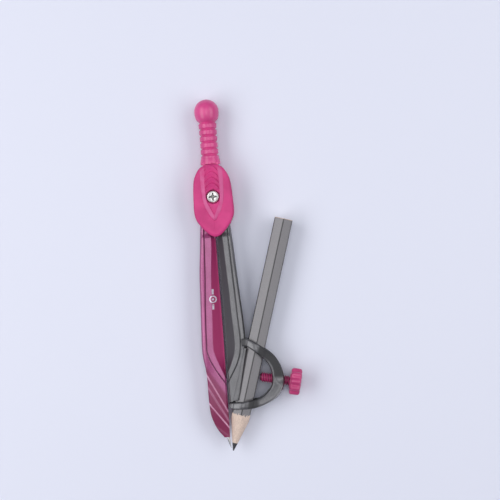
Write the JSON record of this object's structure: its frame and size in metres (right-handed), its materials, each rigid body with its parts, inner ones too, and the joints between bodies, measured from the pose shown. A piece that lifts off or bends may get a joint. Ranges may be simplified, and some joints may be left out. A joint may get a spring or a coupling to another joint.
{
  "type": "drawing compass",
  "caption": "Drawing compass with a gear-linked head, a turned handle, a needle leg and a leg with a screw clamp that holds a hexagonal pencil.",
  "frame": {"origin": "middle of the compass's box, at the height of the surface that it lies on, with the compass on its back", "axes": "+Y along the compass from the points to the handle, +Z out of the front cover, +X to the side of the pencil"},
  "size_m": [0.0404, 0.1408, 0.0121],
  "materials": {
    "handle_plastic": "satin pink moulded plastic",
    "head_plastic": "satin pink moulded plastic",
    "screw_steel": "bright zinc-plated steel",
    "washer_plastic": "natural slippery plastic",
    "magenta_metallic": "satin magenta with metallic flake",
    "needle_steel": "polished steel",
    "grey_metallic": "satin dark grey with metallic flake",
    "clamp_plastic": "glossy crimson pink moulded plastic",
    "pencil_paint_and_wood": "silver-grey lacquer with black edges, bare wood at the point",
    "graphite": "dark grey graphite"
  },
  "bodies": {
    "head": {"handle": "handle_plastic", "head_front_cover": "head_plastic", "head_rear_cover": "head_plastic", "hinge_screw": "screw_steel", "hinge_nut": "screw_steel", "needle_leg_pivot_pin": "screw_steel", "pencil_leg_pivot_pin": "screw_steel", "needle_leg_front_washer": "washer_plastic", "needle_leg_rear_washer": "washer_plastic", "pencil_leg_front_washer": "washer_plastic", "pencil_leg_rear_washer": "washer_plastic"},
    "needle_leg": {"needle_leg": "magenta_metallic", "needle": "needle_steel"},
    "pencil_leg": {"pencil_leg": "grey_metallic", "clamp_ring": "grey_metallic"},
    "clamp_screw": {"clamp_screw": "clamp_plastic"},
    "clamp_knob": {"clamp_knob": "clamp_plastic"},
    "pencil": {"pencil_casing": "pencil_paint_and_wood", "pencil_lead": "graphite"}
  },
  "joints": [
    {"name": "pencil_leg_swing", "type": "hinge", "parent": "head", "child": "pencil_leg", "pos_m": [-0.00645, 0.02324, 0.0058], "axis": [0, 0, 1], "range_deg": [0, 50]},
    {"name": "needle_leg_swing", "type": "hinge", "parent": "head", "child": "needle_leg", "pos_m": [-0.01545, 0.02324, 0.0058], "axis": [0, 0, 1], "range_deg": [-50, 0]},
    {"name": "clamp_feed", "type": "slide", "parent": "pencil_leg", "child": "clamp_screw", "axis": [0.9763, -0.2164, 0], "range_m": [0, 0.0035]},
    {"name": "clamp_turn", "type": "hinge", "parent": "clamp_screw", "child": "clamp_knob", "pos_m": [-0.00185, -0.04091, 0.0058], "axis": [0.9763, -0.2164, 0], "range_deg": [0, 1800]},
    {"name": "pencil_slide", "type": "slide", "parent": "pencil_leg", "child": "pencil", "axis": [0.289, 0.9573, 0], "range_m": [0, 0.02]}
  ],
  "couplings": [
    {"joint": "needle_leg_swing", "follows": "pencil_leg_swing", "ratio": -1},
    {"joint": "clamp_turn", "follows": "clamp_feed", "rad_per_m": 8976}
  ]
}
